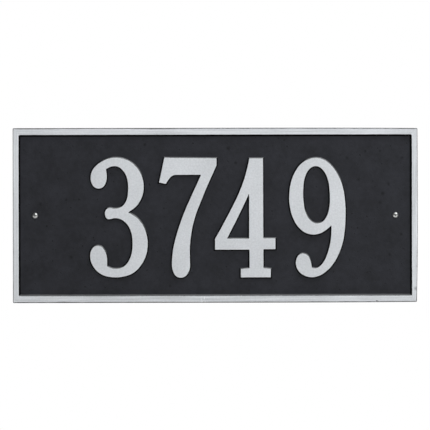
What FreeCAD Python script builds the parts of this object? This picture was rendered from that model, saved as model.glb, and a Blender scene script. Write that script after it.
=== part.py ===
import FreeCAD, Part
import math
import os
import Sketcher

# House number plaque: one aluminium casting with a raised rim and four raised numerals, held by two screws.
# Millimetres. X runs along the plaque, Z is up and the front faces -Y. The origin is the middle of the back.

# Driving dimensions
SIZES = {
    # casting
    "plaque_width": 419.1,
    "plaque_height": 181.0,
    "plaque_depth": 9.5,
    "outer_draft": 5.0,
    "corner_radius": 1.2,
    "edge_radius": 0.5,
    # sunken field inside the rim, its edges measured in from the plaque's outline
    "rim_width_sides": 6.45,
    "rim_width_top": 7.25,
    "field_depth": 3.2,
    "field_draft": 20.0,
    "field_corner_radius": 1.5,
    # raised numerals
    "numeral_height": 123.8,
    "numeral_relief": 3.2,
    "numeral_draft": 20.0,
    "numeral_drop": 2.4,
    "numeral_shift": 2.55,
    "first_space": 11.95,
    "second_space": -1.63,
    "third_space": 14.24,
    # mounting screws
    "screw_inset": 23.25,
    "screw_length": 31.75,
    "screw_shank": 3.2,
    "screw_core": 2.5,
    "screw_plain_length": 10.0,
    "screw_point_length": 4.5,
    "screw_head_diameter": 6.0,
    "screw_head_height": 2.4,
    "screw_head_edge": 0.5,
    "hole_clearance": 0.4,
    "recess_span": 3.0,
    "recess_slot": 0.9,
    "recess_depth": 1.2,
}

# How a sketch names the ends and the middle of a curve, its own axes and its origin
START, END, CENTRE = 1, 2, 3
ACROSS_AXIS, UP_AXIS = -1, -2
ORIGIN = (-1, START)

# Two lengths closer than this count as equal
SAME_LENGTH = 1e-4

# Headings along an outline, in degrees
RIGHT, UP, LEFT, DOWN = 0, 90, 180, 270
LINE = None

# The numerals as drawn, DRAWN_HEIGHT tall, from the left end of the baseline. Each node is x, z, then the
# heading in and the heading out. Where a stretch has headings it is a pair of arcs, otherwise a line.
DRAWN_HEIGHT = 124.0

THREE = [[
    (39.4, 67.3, 157, 36),
    (50.7, 77.2, 57, 57),
    (55.7, 94.0, UP, UP),
    (45.4, 117.1, 139, 139),
    (26.5, 124.1, LEFT, LEFT),
    (8.5, 117.7, 217, 217),
    (0.8, 103.5, DOWN, DOWN),
    (9.0, 92.3, RIGHT, RIGHT),
    (17.6, 104.5, UP, UP),
    (16.6, 112.3, 100, 35),
    (25.5, 115.5, RIGHT, RIGHT),
    (36.1, 108.5, -59, -59),
    (39.7, 93.0, DOWN, DOWN),
    (35.0, 75.3, 229, 229),
    (25.5, 71.4, LEFT, LEFT),
    (20.3, 72.1, LEFT, LEFT),
    (15.5, 66.5, DOWN, DOWN),
    (19.8, 60.5, RIGHT, RIGHT),
    (26.5, 61.6, RIGHT, RIGHT),
    (40.6, 52.1, -61, -61),
    (44.1, 34.7, DOWN, DOWN),
    (39.1, 15.6, 236, 236),
    (26.5, 9.1, LEFT, LEFT),
    (17.8, 11.5, 150, UP),
    (16.6, 25.0, 110, 110),
    (8.0, 33.1, LEFT, LEFT),
    (0.1, 22.5, DOWN, DOWN),
    (9.4, 5.1, -36, -36),
    (26.5, 0.3, RIGHT, RIGHT),
    (50.0, 9.3, 48, 48),
    (59.8, 34.8, UP, UP),
    (54.9, 54.0, 120, 120),
]]

SEVEN = [[
    (5.3, 123.9, LINE, LINE),
    (59.3, 123.3, LINE, LINE),
    (59.3, 116.0, LINE, 245),
    (31.5, 26.0, DOWN, LINE),
    (31.8, 13.0, LINE, DOWN),
    (22.0, -0.1, LEFT, LEFT),
    (13.0, 13.5, UP, UP),
    (24.6, 64.2, 69, 69),
    (33.4, 84.6, 66, LINE),
    (43.3, 106.3, LINE, LINE),
    (17.5, 106.3, LINE, LEFT),
    (6.8, 97.0, 240, LINE),
    (-0.2, 98.3, LINE, LINE),
]]

FOUR = [[
    (35.6, 123.2, 80, LINE),
    (49.8, 123.2, LINE, LINE),
    (49.9, 40.4, LINE, LINE),
    (62.5, 40.4, LINE, LINE),
    (62.5, 29.2, LINE, LINE),
    (50.0, 29.2, LINE, LINE),
    (50.0, 9.6, LINE, LINE),
    (57.8, 8.8, LINE, LINE),
    (57.6, 0.1, LINE, LINE),
    (26.7, 0.1, LINE, LINE),
    (26.7, 8.7, LINE, LINE),
    (35.6, 9.6, LINE, LINE),
    (35.6, 28.8, LINE, LINE),
    (0.0, 28.8, LINE, LINE),
    (0.0, 39.8, LINE, 60),
], [
    (12.2, 40.1, 242, LINE),
    (35.3, 40.1, LINE, LINE),
    (35.3, 87.0, LINE, 246),
]]

NINE = [[
    (27.5, 123.5, RIGHT, RIGHT),
    (48.6, 109.3, -57, -57),
    (58.4, 67.0, DOWN, DOWN),
    (53.4, 29.5, 251, 251),
    (40.0, 7.6, 224, 224),
    (23.2, 0.1, LEFT, LEFT),
    (6.8, 15.0, UP, UP),
    (13.7, 24.5, RIGHT, RIGHT),
    (23.3, 10.0, -88, -25),
    (29.2, 9.9, 27, 27),
    (38.4, 21.5, 68, 68),
    (43.7, 49.0, UP, LINE),
    (43.7, 54.0, LINE, 227),
    (25.0, 44.2, LEFT, LEFT),
    (6.1, 57.0, 119, 119),
    (0.0, 82.0, UP, UP),
    (8.0, 112.3, 57, 57),
], [
    (27.6, 115.0, RIGHT, RIGHT),
    (37.0, 108.4, -60, -60),
    (42.2, 81.5, DOWN, DOWN),
    (36.5, 59.4, 233, 233),
    (28.5, 55.7, LEFT, LEFT),
    (19.2, 62.5, 118, 118),
    (14.5, 87.0, UP, UP),
    (19.2, 109.8, 58, 58),
]]

NUMERALS = [("Three", THREE), ("Seven", SEVEN), ("Four", FOUR), ("Nine", NINE)]
SPACES = ["first_space", "second_space", "third_space"]


# Document and sheet

doc = FreeCAD.newDocument("house_number_plaque")
sheet = doc.addObject("Spreadsheet::Sheet", "Sizes")
for row, (name, value) in enumerate(SIZES.items(), start=1):
    sheet.set(f"A{row}", name)
    sheet.set(f"B{row}", str(value))
    sheet.setAlias(f"B{row}", name)
doc.recompute()


def size(name):
    """A driving dimension as the sheet now holds it."""
    return float(getattr(sheet, name))


# Sketches

def new_body(label):
    body = doc.addObject("PartDesign::Body", label)
    body.Label = label
    return body


def new_sketch(body, name, plane, offset=None):
    """A sketch on one of the body's own origin planes, moved out along its normal by an expression."""
    sketch = body.newObject("Sketcher::SketchObject", name)
    support = next(f for f in body.Origin.OriginFeatures if f.Role == plane)
    sketch.AttachmentSupport = [(support, "")]
    sketch.MapMode = "FlatFace"
    if offset:
        sketch.setExpression(".AttachmentOffset.Base.z", offset)
    return sketch


def tie_point(sketch, curve, end, x, z):
    """Ties one end of a curve to a place given by two expressions; None puts it on the axis."""
    for kind, axis, expression in (("DistanceX", UP_AXIS, x), ("DistanceY", ACROSS_AXIS, z)):
        if expression is None:
            sketch.addConstraint(Sketcher.Constraint("PointOnObject", curve, end, axis))
            continue
        place = sheet.evalExpression(expression)
        index = sketch.addConstraint(Sketcher.Constraint(kind, *ORIGIN, curve, end, float(place)))
        sketch.setExpression(f"Constraints[{index}]", expression)


def add_lines(sketch, corners):
    """A run of straight lines whose corners are pairs of expressions. Gives its first and last line."""
    places = [corner_place(corner) for corner in corners]
    first = sketch.GeometryCount
    last = first + len(corners) - 2
    for here, there in zip(places, places[1:]):
        sketch.addGeometry(Part.LineSegment(here, there), False)
    for line in range(first, last):
        sketch.addConstraint(Sketcher.Constraint("Coincident", line, END, line + 1, START))
    for line, corner in enumerate(corners[:-1], start=first):
        tie_point(sketch, line, START, *corner)
    tie_point(sketch, last, END, *corners[-1])
    return first, last


def polygon(sketch, corners):
    first, last = add_lines(sketch, corners)
    line = Part.LineSegment(corner_place(corners[-1]), corner_place(corners[0]))
    closing = sketch.addGeometry(line, False)
    sketch.addConstraint(Sketcher.Constraint("Coincident", last, END, closing, START))
    sketch.addConstraint(Sketcher.Constraint("Coincident", closing, END, first, START))


def corner_place(corner):
    x, z = (0.0 if text is None else float(sheet.evalExpression(text)) for text in corner)
    return FreeCAD.Vector(x, z, 0)


def rectangle(sketch, half_width, half_height):
    left, low = f"-({half_width})", f"-({half_height})"
    polygon(sketch, [(left, low), (half_width, low), (half_width, half_height), (left, half_height)])


# Outlines of lines and tangent arcs

def direction(heading):
    angle = math.radians(heading)
    return FreeCAD.Vector(math.cos(angle), math.sin(angle), 0)


def heading_between(here, there):
    return math.degrees(math.atan2(there[1] - here[1], there[0] - here[0]))


def arc_from(start, heading, end):
    """The arc that leaves start on a heading and reaches end, and its heading there."""
    along = direction(heading)
    chord = end - start
    turn = 2 * math.atan2(along.cross(chord).z, along.dot(chord))
    across = FreeCAD.Vector(-chord.y, chord.x, 0)
    middle = (start + end) * 0.5 - across * (math.tan(turn / 4) / 2)
    return Part.Arc(start, middle, end), heading + math.degrees(turn)


def arc_pair(start, heading_out, end, heading_in):
    """Two arcs that meet smoothly between start and end, with equal tangent lengths at the two ends."""
    leaving, arriving = direction(heading_out), direction(heading_in)
    span = end - start
    bend = 2 * (1 - leaving.dot(arriving))
    reach = span.dot(leaving + arriving)
    tangent = span.dot(span) / (reach + math.sqrt(reach**2 + bend * span.dot(span)))
    joint = (start + end + (leaving - arriving) * tangent) * 0.5
    first, heading = arc_from(start, heading_out, joint)
    second, _ = arc_from(joint, heading, end)
    return [first, second]


def outline_curves(nodes):
    curves = []
    for here, there in zip(nodes, nodes[1:] + nodes[:1]):
        start, end = FreeCAD.Vector(*here[:2], 0), FreeCAD.Vector(*there[:2], 0)
        if here[3] is LINE:
            curves.append(Part.LineSegment(start, end))
        else:
            curves += arc_pair(start, here[3], end, there[2])
    return curves


def scaled(nodes, factor):
    return [(x * factor, z * factor, heading_in, heading_out) for x, z, heading_in, heading_out in nodes]


def shifted(nodes, x, z):
    return [(node[0] + x, node[1] + z, node[2], node[3]) for node in nodes]


def signed_area(nodes):
    pairs = zip(nodes, nodes[1:] + nodes[:1])
    return sum(a[0] * b[1] - b[0] * a[1] for a, b in pairs) / 2


def spread(nodes, distance):
    """The outline with each side moved out by a distance, or in where it is negative."""
    side = math.copysign(1, signed_area(nodes))
    moved = []
    for i, (x, z, heading_in, heading_out) in enumerate(nodes):
        before = heading_between(nodes[i - 1], nodes[i]) if heading_in is LINE else heading_in
        following = nodes[(i + 1) % len(nodes)]
        after = heading_between(nodes[i], following) if heading_out is LINE else heading_out
        half_turn = ((after - before + 180) % 360 - 180) / 2
        outward = direction(before + half_turn - 90 * side)
        reach = distance / math.cos(math.radians(half_turn))
        moved.append((x + outward.x * reach, z + outward.y * reach, heading_in, heading_out))
    return moved


# Casting

FACE_OF_FIELD = "Sizes.plaque_depth - Sizes.field_depth"
SCREW_X = "Sizes.plaque_width / 2 - Sizes.screw_inset"
SCREWS = [("mounting_screw_left", -1), ("mounting_screw_right", 1)]

casting = new_body("plaque_casting")


def add_plate():
    sketch = new_sketch(casting, "PlateOutline", "XZ_Plane")
    rectangle(sketch, "Sizes.plaque_width / 2", "Sizes.plaque_height / 2")
    plate = casting.newObject("PartDesign::Pad", "Plate")
    plate.Profile = sketch
    plate.setExpression("Length", "Sizes.plaque_depth")
    plate.setExpression("TaperAngle", "-Sizes.outer_draft")


def add_field():
    """Sinks the field below the rim's face, with sloping walls."""
    sketch = new_sketch(casting, "FieldOutline", "XZ_Plane", "Sizes.plaque_depth")
    half_width = "(Sizes.plaque_width / 2 - Sizes.rim_width_sides)"
    half_height = "(Sizes.plaque_height / 2 - Sizes.rim_width_top)"
    rectangle(sketch, half_width, half_height)
    field = casting.newObject("PartDesign::Pocket", "Field")
    field.Profile = sketch
    field.setExpression("Length", "Sizes.field_depth")
    field.setExpression("TaperAngle", "-Sizes.field_draft")


def round_edges(name, radius, chosen):
    """A fillet on the casting's edges that a test picks out."""
    doc.recompute()
    base = casting.Tip
    edges = [f"Edge{i}" for i, edge in enumerate(base.Shape.Edges, start=1) if chosen(edge)]
    fillet = casting.newObject("PartDesign::Fillet", name)
    fillet.Base = (base, edges)
    fillet.setExpression("Radius", radius)


def is_near(length, wanted):
    return abs(length - wanted) < SAME_LENGTH


def is_outer_corner(edge):
    """A corner that runs through the plate from its back to its face."""
    return is_near(edge.BoundBox.YLength, size("plaque_depth"))


def is_field_corner(edge):
    """A corner that runs from the rim's face down to the field."""
    return is_near(edge.BoundBox.YLength, size("field_depth"))


def is_rim_edge(edge):
    """An edge that lies in the rim's face."""
    return is_near(edge.BoundBox.YMax, -size("plaque_depth"))


def numeral_sketch(name, part, offset, outlines, x, spread_by):
    """One section of a numeral. Its first outline grows by spread_by, and its openings shrink by as much."""
    factor = size("numeral_height") / DRAWN_HEIGHT
    baseline = -size("numeral_drop") - size("numeral_height") / 2
    sketch = new_sketch(casting, name + part, "XZ_Plane", offset)
    for i, outline in enumerate(outlines):
        placed = shifted(scaled(outline, factor), x, baseline)
        sketch.addGeometry(outline_curves(spread(placed, spread_by if i == 0 else -spread_by)), False)
    return sketch


def add_numeral(name, outlines, x):
    """A raised numeral, lofted between its face and its wider root on the field."""
    slope_run = size("numeral_relief") * math.tan(math.radians(size("numeral_draft")))
    face_at = FACE_OF_FIELD + " + Sizes.numeral_relief"
    loft = casting.newObject("PartDesign::AdditiveLoft", name)
    loft.Profile = numeral_sketch(name, "Face", face_at, outlines, x, 0)
    loft.Sections = [numeral_sketch(name, "Root", FACE_OF_FIELD, outlines, x, slope_run)]
    loft.Ruled = True


def numeral_width(outlines):
    drawn = max(node[0] for node in outlines[0])
    return drawn * size("numeral_height") / DRAWN_HEIGHT


def add_numerals():
    spaces = [size(name) for name in SPACES]
    widths = [numeral_width(outlines) for _, outlines in NUMERALS]
    x = size("numeral_shift") - (sum(widths) + sum(spaces)) / 2
    for (name, outlines), width, space in zip(NUMERALS, widths, spaces + [0]):
        add_numeral(name, outlines, x)
        x += width + space


def add_screw_holes():
    """Drilled through from the field, one near each end, with clearance round the screws."""
    sketch = new_sketch(casting, "HoleCentres", "XZ_Plane", FACE_OF_FIELD)
    radius = size("screw_shank") / 2 + size("hole_clearance")
    for _, side in SCREWS:
        x = f"{side} * ({SCREW_X})"
        centre = corner_place((x, None))
        circle = sketch.addGeometry(Part.Circle(centre, FreeCAD.Vector(0, 0, 1), radius), False)
        tie_point(sketch, circle, CENTRE, x, None)
        index = sketch.addConstraint(Sketcher.Constraint("Radius", circle, radius))
        sketch.setExpression(f"Constraints[{index}]", "Sizes.screw_shank / 2 + Sizes.hole_clearance")
    holes = casting.newObject("PartDesign::Pocket", "ScrewHoles")
    holes.Profile = sketch
    holes.Type = "ThroughAll"


add_plate()
round_edges("OuterCorners", "Sizes.corner_radius", is_outer_corner)
add_field()
round_edges("FieldCorners", "Sizes.field_corner_radius", is_field_corner)
round_edges("RimEdges", "Sizes.edge_radius", is_rim_edge)
add_numerals()
add_screw_holes()


# Mounting screws

def add_screw_profile(body, label):
    """Half of the screw's section, from the rim of its head round to the top of the dome."""
    sketch = new_sketch(body, label + "_profile", "XY_Plane")
    head = "Sizes.screw_head_diameter / 2"
    shank = "Sizes.screw_shank / 2"
    core = "Sizes.screw_core / 2"
    corners = [
        (head, "-Sizes.screw_head_edge"),
        (head, None),
        (shank, None),
        (shank, "Sizes.screw_plain_length"),
        (core, "Sizes.screw_plain_length + Sizes.screw_shank / 2 - Sizes.screw_core / 2"),
        (core, "Sizes.screw_length - Sizes.screw_point_length"),
        (None, "Sizes.screw_length"),
        (None, "-Sizes.screw_head_height"),
    ]
    first, last = add_lines(sketch, corners)
    rim, top = corner_place(corners[0]), corner_place(corners[-1])
    rise = rim.y - top.y
    radius = (rim.x**2 + rise**2) / (2 * rise)
    centre = FreeCAD.Vector(0, top.y + radius, 0)
    rim_angle = math.atan2(rim.y - centre.y, rim.x)
    circle = Part.Circle(centre, FreeCAD.Vector(0, 0, 1), radius)
    dome = sketch.addGeometry(Part.ArcOfCircle(circle, -math.pi / 2, rim_angle), False)
    sketch.addConstraint(Sketcher.Constraint("Coincident", dome, START, last, END))
    sketch.addConstraint(Sketcher.Constraint("Coincident", dome, END, first, START))
    sketch.addConstraint(Sketcher.Constraint("PointOnObject", dome, CENTRE, UP_AXIS))
    return sketch


def cross_corners():
    """The cross recess, quarter by quarter."""
    span, slot = "Sizes.recess_span / 2", "Sizes.recess_slot / 2"
    quarter = [(span, slot), (slot, slot), (slot, span)]
    corners = []
    for x_sign, z_sign in ((1, 1), (-1, 1), (-1, -1), (1, -1)):
        signed = [(f"{x_sign} * {x}", f"{z_sign} * {z}") for x, z in quarter]
        corners += signed if x_sign == z_sign else signed[::-1]
    return corners


def add_screw(label, side):
    """A round-headed screw with a cross recess. Its own Y runs from under the head to the point."""
    body = new_body(label)
    turned = body.newObject("PartDesign::Revolution", label + "_turned")
    profile = add_screw_profile(body, label)
    turned.Profile = profile
    turned.ReferenceAxis = (profile, ["V_Axis"])
    doc.recompute()
    cross = new_sketch(body, label + "_cross", "XZ_Plane", "Sizes.screw_head_height")
    polygon(cross, cross_corners())
    recess = body.newObject("PartDesign::Pocket", label + "_recess")
    recess.Profile = cross
    recess.setExpression("Length", "Sizes.recess_depth")
    body.setExpression(".Placement.Base.x", f"{side} * ({SCREW_X})")
    body.setExpression(".Placement.Base.y", f"-({FACE_OF_FIELD})")
    return body


screws = [add_screw(label, side) for label, side in SCREWS]
doc.recompute()


# Checks and files

pieces = [casting, *screws]
for item in doc.Objects:
    if "Invalid" in item.State or "Error" in item.State:
        raise RuntimeError(f"{item.Label} did not compute: {item.State}")
for piece in pieces:
    if piece.Shape.isNull() or not piece.Shape.isValid():
        raise RuntimeError(f"{piece.Label} has no valid shape")
    if len(piece.Shape.Solids) != 1:
        raise RuntimeError(f"{piece.Label} is not one solid")

os.makedirs("parts", exist_ok=True)
for piece in pieces:
    piece.Shape.exportStep(f"parts/{piece.Label}.step")
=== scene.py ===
import math

import bmesh
import bpy
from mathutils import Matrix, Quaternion, Vector, noise


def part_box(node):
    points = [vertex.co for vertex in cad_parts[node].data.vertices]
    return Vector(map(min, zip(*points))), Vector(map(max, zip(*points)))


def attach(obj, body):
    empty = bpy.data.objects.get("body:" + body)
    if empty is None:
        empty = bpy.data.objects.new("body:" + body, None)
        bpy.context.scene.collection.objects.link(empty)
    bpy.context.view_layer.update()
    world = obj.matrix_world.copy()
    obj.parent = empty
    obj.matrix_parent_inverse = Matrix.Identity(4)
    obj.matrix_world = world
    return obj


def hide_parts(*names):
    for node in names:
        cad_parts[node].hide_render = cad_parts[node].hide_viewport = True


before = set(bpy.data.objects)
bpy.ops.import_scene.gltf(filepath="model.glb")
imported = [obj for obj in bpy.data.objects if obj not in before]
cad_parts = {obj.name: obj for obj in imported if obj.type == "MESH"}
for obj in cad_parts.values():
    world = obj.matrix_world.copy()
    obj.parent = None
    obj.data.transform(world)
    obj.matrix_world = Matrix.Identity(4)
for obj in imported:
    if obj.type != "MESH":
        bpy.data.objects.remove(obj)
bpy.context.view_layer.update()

# House number plaque: a sand casting in black enamel, with silver paint on its raised faces, held by two
# bright screws. Metres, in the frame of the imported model: X along the plaque, Z up, and the front faces -Y.

MM = 0.001
X_AXIS, Z_AXIS = Vector((1, 0, 0)), Vector((0, 0, 1))

# Casting: what stands in front of the back skin is dressed, and the rest stays flat
LOW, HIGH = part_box("plaque_casting")
HALF_WIDTH, HALF_HEIGHT = HIGH.x, HIGH.z
FACE_Y = LOW.y
RELIEF = 3.2 * MM
FIELD_Y = FACE_Y + RELIEF
RIM_WIDTH = 8.0 * MM
BACK_SKIN = -0.5 * MM

# Mesh of the casting
TINY = 0.005 * MM
MERGE_GAP = 0.12 * MM
SLIVER = 0.04 * MM
CUT_GAP = 0.01 * MM
BACK_BAND = 0.2 * MM
OUTER_BAND = 3.0 * MM
FLAT_ANGLE = math.radians(0.4)
SHARP_ANGLE = math.radians(32)
FACING_BACK = 0.99
SHORTEST_ROOT_EDGE = 0.3 * MM
ROOT_FILLET, ROOT_STEPS = 0.6 * MM, 3
EDGE_ROUNDING, EDGE_STEPS = 0.18 * MM, 2
ROUND = 0.5
MESH_STEP = 1.7 * MM

# Cast surface: waves to the metre and their heights, with less of them on the rubbed faces
BROAD_WAVES, FINE_WAVES, SIDE_WAVES = 55.0, 260.0, 150.0
SKIN_HEIGHT, SIDE_HEIGHT = 0.05 * MM, 0.10 * MM
FINE_SHIFT, SIDE_SHIFT = Vector((7.3, 1.9, 4.4)), Vector((0.0, 9.0, 3.0))
RUBBED_SHARE = 0.25

# Outer edges, rubbed on a belt: how far the right-hand corners are off true, and how fast that fades
BELT_BAND = 2.5 * MM
LOWER_CORNER_X, LOWER_CORNER_Z = -1.1 * MM, 0.5 * MM
UPPER_CORNER_X, UPPER_CORNER_Z = -0.2 * MM, -0.6 * MM
EDGE_POWER, END_POWER, SIDE_POWER = 8, 2, 3

# Marks that the photograph shows, in mm: x, z and radius, and a depth for the nicks
FIELD_PITS = ((170, 13, 1.7), (148, 37, 1.8), (-154, 16, 1.3), (170, 66, 1.6), (192, -20, 1.4),
              (179, 32, 1.6), (13, 69, 1.9), (155, 66, 1.4), (21, 54, 1.7), (136, 59, 1.7), (193, 59, 1.6),
              (173, 22, 1.9), (-149, -43, 1.7), (-73, 73, 1.6), (180, -41, 1.6), (-181, 12, 1.6),
              (-47, -73, 1.4))
RIM_DENT = (207, -76, 1.9)
SCRATCHED_PATCH = (-11, -87, 5)
EDGE_NICKS = ((167.4, -90.2, 2.2, 0.6), (-12.0, -90.4, 2.6, 0.25))
NICK_STRETCH = 0.7
NICK_BACKWARD = 0.8
NICK_POWER = 1.5

# A mark's full core and its far reach, in radii
SPOT_CORE, SPOT_REACH = 0.4, 1.9

# Screw head
SCREW_LOW, SCREW_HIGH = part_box("mounting_screw_right")
SCREW_X = (SCREW_LOW.x + SCREW_HIGH.x) / 2
SCREW_FRONT_Y = SCREW_LOW.y
SCREW_MERGE_GAP = 0.1 * MM
HEAD_ROUNDING = 0.05 * MM
RECESS_RADII = (1.4 * MM, 1.7 * MM)
RECESS_DEPTHS = (SCREW_FRONT_Y + 0.25 * MM, SCREW_FRONT_Y + 0.6 * MM)

# Screw thread: a ridge whose foot is sunk into the core
THREAD_START, THREAD_END = 5.0 * MM, 24.6 * MM
THREAD_PITCH = 1.4 * MM
THREAD_WIDTH = 0.9 * MM
THREAD_HEIGHT, THREAD_LEAST_HEIGHT = 0.42 * MM, 0.02 * MM
THREAD_SINK = 0.05 * MM
THREAD_DEPTH, THREAD_LEAST_RADIUS = 0.3 * MM, 0.1 * MM
THREAD_STEPS = 22
FADE_IN_TURNS, FADE_OUT_TURNS = 1, 3
OUTLINE_DIGITS = 6

# Tints
NEUTRAL = (1.0, 1.0, 1.0)
DAYLIGHT = (0.965, 1.0, 1.035)
BLUE_BLACK = (0.98, 1.0, 1.26)
WARM = (1.0, 0.99, 0.95)
COOL = (0.99, 1.0, 1.012)

# Noises: scale, detail and roughness
ENAMEL_MOTTLE = (230.0, 4.0, 0.62)
ENAMEL_GRAIN = (800.0, 2.0, 0.6)
ENAMEL_CLOUD = (45.0, 2.0, 0.5)
ENAMEL_PITS = (330.0, 1.0, 0.4)
SILVER_LINES = (1000.0, 1.0, 0.5)
SILVER_CLOUD = (26.0, 2.0, 0.5)
SILVER_GRAIN = (520.0, 3.0, 0.75)
SILVER_SCRATCHES = (700.0, 1.0, 0.5)
BORDER_RAGGED = (420.0, 4.0, 0.7)
BORDER_PATCHY = (60.0, 3.0, 0.55)
STEEL_GRAIN = (1500.0, 2.0, 0.6)
NOISE_MIDDLE = 0.5
NOISE_RANGE = (0.3, 0.7)

# Enamel on the field and the back, with painted shade in the pits
ENAMEL_DARK, ENAMEL_PALE, PIT_SHADE = 0.013, 0.023, 0.004
ENAMEL_SHADES = (0.35, 0.65)
ENAMEL_CLOUD_SHARE = 0.5
ENAMEL_ROUGHNESS = (0.46, 0.56)
ENAMEL_SPECULAR = 0.28
ENAMEL_BUMP, ENAMEL_BUMP_HEIGHT = 0.8, 0.30 * MM
MOTTLE_HEIGHT, GRAIN_HEIGHT, PIT_DEPTH = 0.6, 0.4, 0.5
PIT_BORDER = (0.70, 0.76)

# Enamel on the walls: painted shade, near black, and painted light, paler, where a wall faces the light from
# above and to the right
WALL_PAINTED_SHADE, WALL_PAINTED_LIGHT = 0.002, 0.24
WALL_ROUGHNESS, WALL_SPECULAR = 0.6, 0.04
WALL_NORMALS = (0.6, 0.97)
LIGHT_ACROSS, LIGHT_UP = 0.35, 0.94
LIT_RANGE = (0.50, 0.95)

# Silver paint
SILVER_DARK, SILVER_PALE, DENT_GREY = 0.61, 0.91, 0.33
SILVER_CLOUD_SHARE = 0.22
SILVER_METALLIC, SILVER_ROUGHNESS = 0.35, 0.55
SILVER_BUMP, SILVER_BUMP_HEIGHT = 0.25, 0.10 * MM
FACE_SMOOTHNESS = 0.4
RIM_LINES_SHARE = 0.6
RIM_END_SHEEN = 0.05
LEVEL_STRETCH, UPRIGHT_STRETCH = (0.02, 1.0, 1.0), (1.0, 1.0, 0.02)
SCRATCH_STRETCH = (1.0, 1.0, 0.25)
SCRATCH_BORDER = (0.52, 0.62)

# How deep below the face the silver runs, much further down walls that face the light as painted light, and
# the noise levels that count as nothing
RAGGED_ZERO, PATCHY_ZERO = 0.42, 0.30
INNER_DEPTH, INNER_REACH, LIT_WALL_REACH = 0.06 * MM, 0.15 * MM, 1.5 * MM
OUTER_DEPTH, OUTER_REACH, END_REACH = 0.02 * MM, 0.2 * MM, 7.0 * MM
OUTER_WALL_BAND = 1.7 * MM
BRUSHED_SHARE = 0.25
PAINT_BORDER = 0.04 * MM

# Steel, with painted shade in the head's recess
STEEL_DARK, STEEL_PALE, RECESS_SHADE_GREY = 0.60, 0.74, 0.16
STEEL_ROUGHNESS = (0.34, 0.44)

# Floor: a square, with a glow that is weak near its middle and strong far out
FLOOR_HALF_SIZE = 4.5
FLOOR_Z = -0.45
FLOOR_GREY, FLOOR_ROUGHNESS = 0.8, 0.9
FLOOR_NEAR, FLOOR_FAR = 0.7, 2.4
GLOW_NEAR, GLOW_FAR = 0.36, 0.74

# Lights, aimed at the plaque: name, place, width and height, and watts
LIGHTS = (("front", (1.00, -1.6, 0.90), (1.5, 1.0), 10.1),
          ("top", (0.45, -0.40, 0.95), (1.6, 0.4), 10.3),
          ("back", (-0.3, 1.6, 1.0), (1.6, 1.0), 16.0))
WORLD_GREY = 0.10

# Camera: it stands square to the plaque, with the picture turned a little
PICTURE_WIDTH = 445.04 * MM
CAMERA_DISTANCE = 5.0
CAMERA_TURN = math.radians(-0.11)
CAMERA_X, CAMERA_Z = -0.29 * MM, 0.28 * MM

# A Mix node has sockets of the same name for each kind of value, so they are taken by number
MIX_NUMBERS = (2, 3)
MIX_COLOURS, MIX_COLOUR_OUT = (6, 7), 2


# Shader building

class Nodes:
    """A node tree, built from short calls. Values are numbers, or sockets to link."""

    def __init__(self, tree):
        self.tree = tree
        tree.nodes.clear()

    def add(self, kind, **settings):
        node = self.tree.nodes.new(kind)
        for name, value in settings.items():
            setattr(node, name, value)
        return node

    def put(self, socket, value):
        if isinstance(value, bpy.types.NodeSocket):
            self.tree.links.new(value, socket)
        else:
            socket.default_value = value

    def put_all(self, sockets, values):
        for socket, value in zip(sockets, values):
            self.put(socket, value)

    def math(self, operation, *values):
        node = self.add("ShaderNodeMath", operation=operation)
        self.put_all(node.inputs, values)
        return node.outputs[0]

    def split(self, vector):
        node = self.add("ShaderNodeSeparateXYZ")
        self.put(node.inputs[0], vector)
        return node.outputs["X"], node.outputs["Y"], node.outputs["Z"]

    def scaled(self, vector, factors):
        node = self.add("ShaderNodeVectorMath", operation="MULTIPLY")
        self.put_all(node.inputs, (vector, factors))
        return node.outputs[0]

    def mix(self, share, first, second):
        """Mixes two colours."""
        node = self.add("ShaderNodeMix", data_type="RGBA")
        self.put(node.inputs["Factor"], share)
        self.put_all([node.inputs[number] for number in MIX_COLOURS], (first, second))
        return node.outputs[MIX_COLOUR_OUT]

    def blend(self, share, first, second):
        """Mixes two numbers."""
        node = self.add("ShaderNodeMix", data_type="FLOAT")
        self.put(node.inputs["Factor"], share)
        self.put_all([node.inputs[number] for number in MIX_NUMBERS], (first, second))
        return node.outputs[0]

    def mix_shaders(self, share, first, second):
        node = self.add("ShaderNodeMixShader")
        self.put_all(node.inputs, (share, first, second))
        return node.outputs[0]

    def noise(self, place, settings):
        """Settings are scale, detail and roughness."""
        node = self.add("ShaderNodeTexNoise")
        self.put(node.inputs["Vector"], place)
        self.put_all([node.inputs[name] for name in ("Scale", "Detail", "Roughness")], settings)
        return node.outputs["Fac"]

    def between(self, value, low, high, to_low=0.0, to_high=1.0):
        """Maps one range of a value to another, and holds it there."""
        node = self.add("ShaderNodeMapRange", clamp=True)
        self.put_all(node.inputs, (value, low, high, to_low, to_high))
        return node.outputs[0]

    def bump(self, height, strength, distance):
        node = self.add("ShaderNodeBump")
        self.put(node.inputs["Height"], height)
        self.put(node.inputs["Strength"], strength)
        self.put(node.inputs["Distance"], distance)
        return node.outputs["Normal"]

    def spot(self, place, mark, ragged):
        """1 in the middle of a mark and 0 outside it, with an uneven border."""
        x, z, radius = (value * MM for value in mark)
        away = self.add("ShaderNodeVectorMath", operation="DISTANCE")
        self.put_all(away.inputs, (self.scaled(place, (1.0, 0.0, 1.0)), (x, 0.0, z)))
        uneven = self.math("MULTIPLY_ADD", ragged, radius, away.outputs["Value"])
        return self.between(uneven, SPOT_CORE * radius, SPOT_REACH * radius, 1.0, 0.0)


def grey(level, tint=NEUTRAL):
    return (level * tint[0], level * tint[1], level * tint[2], 1.0)


def new_material(name):
    material = bpy.data.materials.new(name)
    material.use_nodes = True
    return material, Nodes(material.node_tree)


def finish_material(nodes, shader):
    output = nodes.add("ShaderNodeOutputMaterial")
    nodes.put(output.inputs["Surface"], shader)


# Materials

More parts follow.
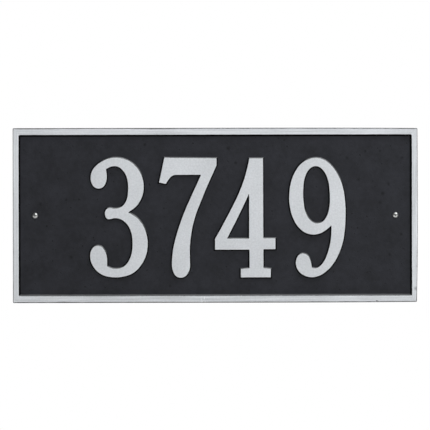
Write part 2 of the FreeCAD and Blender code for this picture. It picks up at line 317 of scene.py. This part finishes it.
def enamel(nodes, place, lit_wall, wall):
    """Satin black enamel over a sand-cast skin: grain, mottling, small pits and a few large ones, the pits
    darkened as painted shade; the walls get painted shade, and painted light where they face the light.
    """
    mottle = nodes.noise(place, ENAMEL_MOTTLE)
    grain = nodes.noise(place, ENAMEL_GRAIN)
    cloud = nodes.noise(place, ENAMEL_CLOUD)
    pits = nodes.between(nodes.noise(place, ENAMEL_PITS), *PIT_BORDER)
    for mark in FIELD_PITS:
        pits = nodes.math("MAXIMUM", pits, nodes.spot(place, mark, mottle))
    height = nodes.math("MULTIPLY_ADD", mottle, MOTTLE_HEIGHT, nodes.math("MULTIPLY", grain, GRAIN_HEIGHT))
    height = nodes.math("SUBTRACT", height, nodes.math("MULTIPLY", pits, PIT_DEPTH))
    shade = nodes.blend(ENAMEL_CLOUD_SHARE, mottle, cloud)
    tone = nodes.mix(nodes.between(shade, *ENAMEL_SHADES), grey(ENAMEL_DARK, BLUE_BLACK),
                     grey(ENAMEL_PALE, BLUE_BLACK))
    # Painted shade: the pits are darkened, as their hollows fall in shade
    tone = nodes.mix(pits, tone, grey(PIT_SHADE, BLUE_BLACK))
    normal = nodes.bump(height, ENAMEL_BUMP, ENAMEL_BUMP_HEIGHT)
    flat = nodes.add("ShaderNodeBsdfPrincipled")
    nodes.put(flat.inputs["Base Color"], tone)
    nodes.put(flat.inputs["Roughness"], nodes.between(grain, *NOISE_RANGE, *ENAMEL_ROUGHNESS))
    flat.inputs["Specular IOR Level"].default_value = ENAMEL_SPECULAR
    nodes.put(flat.inputs["Normal"], normal)
    # The walls: painted shade, near black, and painted light, paler, where a wall faces the light
    steep = nodes.add("ShaderNodeBsdfPrincipled")
    nodes.put(steep.inputs["Base Color"], nodes.mix(lit_wall, grey(WALL_PAINTED_SHADE), grey(WALL_PAINTED_LIGHT)))
    steep.inputs["Roughness"].default_value = WALL_ROUGHNESS
    steep.inputs["Specular IOR Level"].default_value = WALL_SPECULAR
    nodes.put(steep.inputs["Normal"], normal)
    return nodes.mix_shaders(wall, flat.outputs[0], steep.outputs[0])


def to_border(nodes, place):
    """The distances to the nearer end and to the nearer long side."""
    x, _, z = nodes.split(place)
    return (nodes.math("SUBTRACT", HALF_WIDTH, nodes.math("ABSOLUTE", x)),
            nodes.math("SUBTRACT", HALF_HEIGHT, nodes.math("ABSOLUTE", z)))


def silver(nodes, place):
    """Matte silver paint on ground faces: pale, with fine lines along each side of the rim, and the rim's
    ends paler as a painted sheen.
    """
    to_end, to_edge = to_border(nodes, place)
    on_end = nodes.math("LESS_THAN", to_end, to_edge)
    on_rim = nodes.math("LESS_THAN", nodes.math("MINIMUM", to_end, to_edge), RIM_WIDTH)
    level_lines = nodes.noise(nodes.scaled(place, LEVEL_STRETCH), SILVER_LINES)
    upright_lines = nodes.noise(nodes.scaled(place, UPRIGHT_STRETCH), SILVER_LINES)
    lines = nodes.blend(on_end, level_lines, upright_lines)
    grain = nodes.noise(place, SILVER_GRAIN)
    on_numerals = nodes.blend(FACE_SMOOTHNESS, grain, NOISE_MIDDLE)
    rubbed = nodes.blend(on_rim, on_numerals, nodes.blend(RIM_LINES_SHARE, grain, lines))
    shade = nodes.blend(SILVER_CLOUD_SHARE, rubbed, nodes.noise(place, SILVER_CLOUD))
    # Painted sheen: the rim's ends are a little paler, as their brushing runs the other way and catches the
    # light
    shade = nodes.math("MULTIPLY_ADD", nodes.math("MULTIPLY", on_end, on_rim), RIM_END_SHEEN, shade)
    tone = nodes.mix(nodes.between(shade, *NOISE_RANGE), grey(SILVER_DARK, COOL), grey(SILVER_PALE, COOL))
    dent = nodes.spot(place, RIM_DENT, grain)
    tone = nodes.mix(dent, tone, grey(DENT_GREY))
    scratches = nodes.between(nodes.noise(nodes.scaled(place, SCRATCH_STRETCH), SILVER_SCRATCHES),
                              *SCRATCH_BORDER)
    scratches = nodes.math("MULTIPLY", scratches, nodes.spot(place, SCRATCHED_PATCH, grain))
    tone = nodes.mix(scratches, tone, grey(1.0))
    height = nodes.math("SUBTRACT", rubbed, dent)
    shader = nodes.add("ShaderNodeBsdfPrincipled")
    nodes.put(shader.inputs["Base Color"], tone)
    shader.inputs["Metallic"].default_value = SILVER_METALLIC
    shader.inputs["Roughness"].default_value = SILVER_ROUGHNESS
    nodes.put(shader.inputs["Normal"], nodes.bump(height, SILVER_BUMP, SILVER_BUMP_HEIGHT))
    return shader.outputs[0]


def silver_depth(nodes, place, ends, lit_wall, outer):
    """How deep below the face the silver runs: a ragged line, lower on the outer ends, and far lower on walls
    that face the light, which is painted light.
    """
    ragged = nodes.math("SUBTRACT", nodes.noise(place, BORDER_RAGGED), RAGGED_ZERO)
    patchy = nodes.math("SUBTRACT", nodes.noise(place, BORDER_PATCHY), PATCHY_ZERO)
    # Painted light: the silver runs much further down walls that face the light
    inner_reach = nodes.math("MULTIPLY_ADD", lit_wall, LIT_WALL_REACH, INNER_REACH)
    inner_depth = nodes.math("MULTIPLY_ADD", ragged, inner_reach, INNER_DEPTH)
    outer_reach = nodes.math("MULTIPLY_ADD", ends, END_REACH, OUTER_REACH)
    brushed = nodes.math("MULTIPLY_ADD", ragged, BRUSHED_SHARE, patchy)
    outer_depth = nodes.math("MULTIPLY_ADD", brushed, outer_reach, OUTER_DEPTH)
    return nodes.blend(outer, inner_depth, outer_depth)


def casting_material():
    """Silver on the top of the relief, and enamel below it."""
    material, nodes = new_material("enamel_and_silver_faces")
    place = nodes.add("ShaderNodeTexCoord").outputs["Object"]
    across, out, up = nodes.split(nodes.add("ShaderNodeNewGeometry").outputs["True Normal"])
    outer = nodes.math("LESS_THAN", nodes.math("MINIMUM", *to_border(nodes, place)), OUTER_WALL_BAND)
    # Painted light: how far a wall faces the light, which comes from above and to the right
    facing_light = nodes.math("MULTIPLY_ADD", across, LIGHT_ACROSS, nodes.math("MULTIPLY", up, LIGHT_UP))
    wall = nodes.between(nodes.math("ABSOLUTE", out), *WALL_NORMALS, 1.0, 0.0)
    inner_wall = nodes.math("MULTIPLY", wall, nodes.math("SUBTRACT", 1.0, outer))
    lit_wall = nodes.math("MULTIPLY", nodes.between(facing_light, *LIT_RANGE), inner_wall)
    _, y, _ = nodes.split(place)
    depth = nodes.math("SUBTRACT", y, FACE_Y)
    ends = nodes.math("ABSOLUTE", across)
    past = nodes.math("SUBTRACT", depth, silver_depth(nodes, place, ends, lit_wall, outer))
    in_enamel = nodes.between(past, -PAINT_BORDER, PAINT_BORDER)
    shader = nodes.mix_shaders(in_enamel, silver(nodes, place), enamel(nodes, place, lit_wall, wall))
    finish_material(nodes, shader)
    return material


def screw_material():
    """Bright steel, with painted shade darkening the recess of the head."""
    material, nodes = new_material("bright_steel")
    place = nodes.add("ShaderNodeTexCoord").outputs["Object"]
    across, along, up = nodes.split(place)
    grain = nodes.noise(place, STEEL_GRAIN)
    off_axis = nodes.math("SUBTRACT", nodes.math("ABSOLUTE", across), SCREW_X)
    squares = nodes.math("MULTIPLY_ADD", off_axis, off_axis, nodes.math("MULTIPLY", up, up))
    near_axis = nodes.between(nodes.math("SQRT", squares), *RECESS_RADII, 1.0, 0.0)
    sunk = nodes.between(along, *RECESS_DEPTHS)
    in_head = nodes.math("LESS_THAN", along, FIELD_Y)
    # Painted shade: the recess of the head is darkened
    recess_shade = nodes.math("MULTIPLY", near_axis, nodes.math("MULTIPLY", sunk, in_head))
    clean = nodes.mix(grain, grey(STEEL_DARK, WARM), grey(STEEL_PALE, WARM))
    shader = nodes.add("ShaderNodeBsdfPrincipled")
    nodes.put(shader.inputs["Base Color"], nodes.mix(recess_shade, clean, grey(RECESS_SHADE_GREY, WARM)))
    nodes.put(shader.inputs["Roughness"], nodes.between(grain, *NOISE_RANGE, *STEEL_ROUGHNESS))
    shader.inputs["Metallic"].default_value = 1.0
    finish_material(nodes, shader.outputs[0])
    return material


# Meshes

def copied_mesh(node):
    mesh = bmesh.new()
    mesh.from_mesh(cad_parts[node].data)
    return mesh


def add_piece(mesh, node, material):
    """Turns a mesh into the piece that stands for a node."""
    data = bpy.data.meshes.new(node + "_skin")
    mesh.to_mesh(data)
    mesh.free()
    data.materials.append(material)
    piece = bpy.data.objects.new(node + "_skin", data)
    bpy.context.scene.collection.objects.link(piece)
    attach(piece, "root")
    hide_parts(node)


def sharp_edges(mesh, convex):
    return [edge for edge in mesh.edges
            if len(edge.link_faces) == 2 and edge.is_convex == convex
            and edge.calc_face_angle(0.0) > SHARP_ANGLE]


def round_edges(mesh, edges, offset, steps):
    bmesh.ops.bevel(mesh, geom=edges, offset=offset, segments=steps, profile=ROUND, affect="EDGES")


# Casting

def is_on_back(vert):
    return abs(vert.co.y) < TINY


def is_inside_rim(vert):
    """True on the front and away from the outer border."""
    inside = abs(vert.co.x) < HALF_WIDTH - OUTER_BAND and abs(vert.co.z) < HALF_HEIGHT - OUTER_BAND
    return inside and vert.co.y < BACK_SKIN


def clear_slivers(mesh):
    """Takes out the very short edges that would spoil the rounding, and joins flat faces."""
    bmesh.ops.remove_doubles(mesh, verts=mesh.verts, dist=TINY)
    strays = [vert for vert in mesh.verts if TINY < -vert.co.y < BACK_BAND]
    bmesh.ops.dissolve_verts(mesh, verts=strays)
    for chosen in (is_on_back, is_inside_rim):
        bmesh.ops.remove_doubles(mesh, verts=[vert for vert in mesh.verts if chosen(vert)], dist=MERGE_GAP)
    bmesh.ops.dissolve_limit(mesh, angle_limit=FLAT_ANGLE, verts=mesh.verts, edges=mesh.edges)


def root_edges(mesh):
    """The inner edges where the relief's walls meet the field."""
    return [edge for edge in sharp_edges(mesh, False) if all(vert.co.y < BACK_SKIN for vert in edge.verts)]


def with_borders(faces):
    """The faces with their edges and corners, as a cut takes them."""
    edges = {edge for face in faces for edge in face.edges}
    verts = {vert for face in faces for vert in face.verts}
    return faces + list(edges) + list(verts)


def cut_across(mesh, faces, normal, low, high):
    """Cuts faces again and again between two places, until no strip is wider than the mesh step."""
    if high - low < MESH_STEP or not faces:
        return
    middle = (low + high) / 2
    cut = bmesh.ops.bisect_plane(mesh, geom=with_borders(faces), plane_co=normal * middle, plane_no=normal,
                                 dist=CUT_GAP)
    parts = [part for part in cut["geom"] if isinstance(part, bmesh.types.BMFace)]
    below = [face for face in parts if face.calc_center_median().dot(normal) < middle]
    above = [face for face in parts if face.calc_center_median().dot(normal) >= middle]
    cut_across(mesh, below, normal, low, middle)
    cut_across(mesh, above, normal, middle, high)


def is_back_face(face):
    return face.calc_center_median().y > BACK_SKIN and face.normal.y > FACING_BACK


def front_faces(mesh):
    return [face for face in mesh.faces if face.calc_center_median().y < BACK_SKIN]


def cast_skin(place):
    """How far the cast surface stands off its true form at a place."""
    return SKIN_HEIGHT * (noise.noise(place * BROAD_WAVES) + noise.noise(place * FINE_WAVES + FINE_SHIFT))


def hand_ground(place):
    """The outer edges as rubbed on the belt: off true towards the two right-hand corners."""
    if max(abs(place.x) - HALF_WIDTH, abs(place.z) - HALF_HEIGHT) < -BELT_BAND:
        return Vector()
    right = max(0.0, place.x / HALF_WIDTH)
    up, down = max(0.0, place.z / HALF_HEIGHT), max(0.0, -place.z / HALF_HEIGHT)
    x = right**EDGE_POWER * (LOWER_CORNER_X * down**END_POWER + UPPER_CORNER_X * up**END_POWER)
    z = right**SIDE_POWER * (LOWER_CORNER_Z * down**EDGE_POWER + UPPER_CORNER_Z * up**EDGE_POWER)
    return Vector((x, 0.0, z))


def nicked(place):
    """The knocks in the outer edge, each a shallow dent backwards and towards the plaque's middle."""
    move = Vector()
    for x, z, radius, depth in EDGE_NICKS:
        away = Vector((place.x - x * MM, (place.y - FACE_Y) * NICK_STRETCH, place.z - z * MM)).length
        share = max(0.0, 1.0 - away / (radius * MM))
        inwards = -math.copysign(1.0, z)
        move += Vector((0.0, NICK_BACKWARD, inwards)) * depth * MM * share**NICK_POWER
    return move


def roughen(mesh):
    """Moves the front and the walls off their true form, more on the cast field than on the rubbed faces."""
    mesh.normal_update()
    moves = []
    for vert in mesh.verts:
        place = vert.co
        move = hand_ground(place)
        if place.y < BACK_SKIN:
            in_field = min(1.0, max(0.0, (place.y - FACE_Y) / RELIEF))
            move += vert.normal * cast_skin(place) * (RUBBED_SHARE + (1.0 - RUBBED_SHARE) * in_field)
            across = noise.noise(place * SIDE_WAVES)
            upright = noise.noise(place * SIDE_WAVES + SIDE_SHIFT)
            move += Vector((across, 0.0, upright)) * SIDE_HEIGHT + nicked(place)
        moves.append(move)
    for vert, move in zip(mesh.verts, moves):
        vert.co += move


def build_casting():
    mesh = copied_mesh("plaque_casting")
    clear_slivers(mesh)
    short = [edge for edge in root_edges(mesh) if edge.calc_length() < SHORTEST_ROOT_EDGE]
    bmesh.ops.collapse(mesh, edges=short)
    round_edges(mesh, root_edges(mesh), ROOT_FILLET, ROOT_STEPS)
    corners = [edge for edge in sharp_edges(mesh, True)
               if all(is_on_back(vert) or is_inside_rim(vert) for vert in edge.verts)]
    round_edges(mesh, corners, EDGE_ROUNDING, EDGE_STEPS)
    cut_across(mesh, front_faces(mesh), X_AXIS, -HALF_WIDTH, HALF_WIDTH)
    cut_across(mesh, front_faces(mesh), Z_AXIS, -HALF_HEIGHT, HALF_HEIGHT)
    bmesh.ops.dissolve_degenerate(mesh, dist=SLIVER, edges=mesh.edges)
    roughen(mesh)
    mesh.normal_update()
    for face in mesh.faces:
        face.smooth = not is_back_face(face)
    add_piece(mesh, "plaque_casting", casting_material())


# Screws

def radius_at(outline, y):
    """The radius of a turned piece at a place along it, from the corners of its outline."""
    for (y0, r0), (y1, r1) in zip(outline, outline[1:]):
        if y0 <= y <= y1 and y1 > y0:
            return r0 + (r1 - r0) * (y - y0) / (y1 - y0)
    return outline[-1][1]


def thread_ring(core, height):
    """The ridge's four corners, each as its place along the screw and its radius."""
    foot, flank = THREAD_WIDTH / 2, core - THREAD_SINK
    return ((-foot, flank), (0.0, core + height), (foot, flank),
            (0.0, max(THREAD_LEAST_RADIUS, core - THREAD_DEPTH)))


def add_thread(mesh, axis_x, outline):
    """A helical ridge on the screw's core, with its ends faded out."""
    count = int((THREAD_END - THREAD_START) / THREAD_PITCH * THREAD_STEPS)
    rings = []
    for i in range(count + 1):
        y = THREAD_START + (THREAD_END - THREAD_START) * i / count
        angle = math.tau * i / THREAD_STEPS
        fade_in = i / (FADE_IN_TURNS * THREAD_STEPS)
        fade_out = (count - i) / (FADE_OUT_TURNS * THREAD_STEPS)
        height = THREAD_HEIGHT * min(1.0, fade_in, fade_out) + THREAD_LEAST_HEIGHT
        ring = [mesh.verts.new((axis_x + radius * math.cos(angle), y + along, radius * math.sin(angle)))
                for along, radius in thread_ring(radius_at(outline, y), height)]
        rings.append(ring)
    for first, second in zip(rings, rings[1:]):
        for k in range(len(first)):
            following = (k + 1) % len(first)
            mesh.faces.new((first[k], first[following], second[following], second[k]))
    mesh.faces.new(reversed(rings[0]))
    mesh.faces.new(rings[-1])


def build_screw(node, material):
    mesh = copied_mesh(node)
    bmesh.ops.remove_doubles(mesh, verts=mesh.verts, dist=SCREW_MERGE_GAP)
    low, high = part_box(node)
    axis_x = (low.x + high.x) / 2
    outline = sorted({(round(vert.co.y, OUTLINE_DIGITS),
                       round(math.hypot(vert.co.x - axis_x, vert.co.z), OUTLINE_DIGITS))
                      for vert in mesh.verts if vert.co.y > 0.0})
    bmesh.ops.dissolve_limit(mesh, angle_limit=FLAT_ANGLE, verts=mesh.verts, edges=mesh.edges)
    head_edges = [edge for edge in sharp_edges(mesh, True) if all(vert.co.y < FIELD_Y for vert in edge.verts)]
    round_edges(mesh, head_edges, HEAD_ROUNDING, EDGE_STEPS)
    add_thread(mesh, axis_x, outline)
    bmesh.ops.recalc_face_normals(mesh, faces=mesh.faces)
    for face in mesh.faces:
        face.smooth = True
    for edge in mesh.edges:
        edge.smooth = len(edge.link_faces) == 2 and edge.calc_face_angle(0.0) < SHARP_ANGLE
    add_piece(mesh, node, material)


# Stage

def add_floor():
    """A plain pale floor. It glows a little, more so far from the lights, so that it looks evenly lit."""
    material, nodes = new_material("pale_floor")
    away = nodes.add("ShaderNodeVectorMath", operation="LENGTH")
    nodes.put(away.inputs[0], nodes.add("ShaderNodeTexCoord").outputs["Object"])
    glow = nodes.between(away.outputs["Value"], FLOOR_NEAR, FLOOR_FAR, GLOW_NEAR, GLOW_FAR)
    shader = nodes.add("ShaderNodeBsdfPrincipled")
    shader.inputs["Base Color"].default_value = grey(FLOOR_GREY)
    shader.inputs["Roughness"].default_value = FLOOR_ROUGHNESS
    shader.inputs["Emission Color"].default_value = grey(1.0)
    nodes.put(shader.inputs["Emission Strength"], glow)
    finish_material(nodes, shader.outputs[0])
    mesh = bmesh.new()
    bmesh.ops.create_grid(mesh, x_segments=1, y_segments=1, size=FLOOR_HALF_SIZE)
    data = bpy.data.meshes.new("floor")
    mesh.to_mesh(data)
    mesh.free()
    data.materials.append(material)
    floor = bpy.data.objects.new("floor", data)
    floor.location = (0.0, 0.0, FLOOR_Z)
    bpy.context.scene.collection.objects.link(floor)


def add_light(name, place, size, watts):
    data = bpy.data.lights.new(name, "AREA")
    data.shape = "RECTANGLE"
    data.size, data.size_y = size
    data.energy = watts
    data.color = DAYLIGHT
    light = bpy.data.objects.new(name, data)
    light.location = place
    light.visible_camera = False
    light.rotation_mode = "QUATERNION"
    light.rotation_quaternion = (-light.location).to_track_quat("-Z", "Y")
    bpy.context.scene.collection.objects.link(light)


def background(nodes, colour):
    node = nodes.add("ShaderNodeBackground")
    node.inputs["Color"].default_value = colour
    return node.outputs[0]


def add_world():
    """White where it is seen, and a soft, dimmer light on the object."""
    world = bpy.data.worlds.new("studio")
    bpy.context.scene.world = world
    world.use_nodes = True
    nodes = Nodes(world.node_tree)
    seen = nodes.add("ShaderNodeLightPath").outputs["Is Camera Ray"]
    dim, white = background(nodes, grey(WORLD_GREY, DAYLIGHT)), background(nodes, grey(1.0))
    output = nodes.add("ShaderNodeOutputWorld")
    nodes.put(output.inputs["Surface"], nodes.mix_shaders(seen, dim, white))


def add_camera():
    data = bpy.data.cameras.new("camera")
    data.lens = data.sensor_width * CAMERA_DISTANCE / PICTURE_WIDTH
    camera = bpy.data.objects.new("camera", data)
    camera.location = (CAMERA_X, -CAMERA_DISTANCE, CAMERA_Z)
    camera.rotation_mode = "QUATERNION"
    level = Quaternion(X_AXIS, math.radians(90))
    camera.rotation_quaternion = level @ Quaternion(Z_AXIS, CAMERA_TURN)
    bpy.context.scene.collection.objects.link(camera)
    bpy.context.scene.camera = camera


build_casting()
steel = screw_material()
for screw in ("mounting_screw_left", "mounting_screw_right"):
    build_screw(screw, steel)
add_floor()
add_world()
for light in LIGHTS:
    add_light(*light)
add_camera()
bpy.context.scene.view_settings.view_transform = "Standard"

bpy.context.view_layer.update()
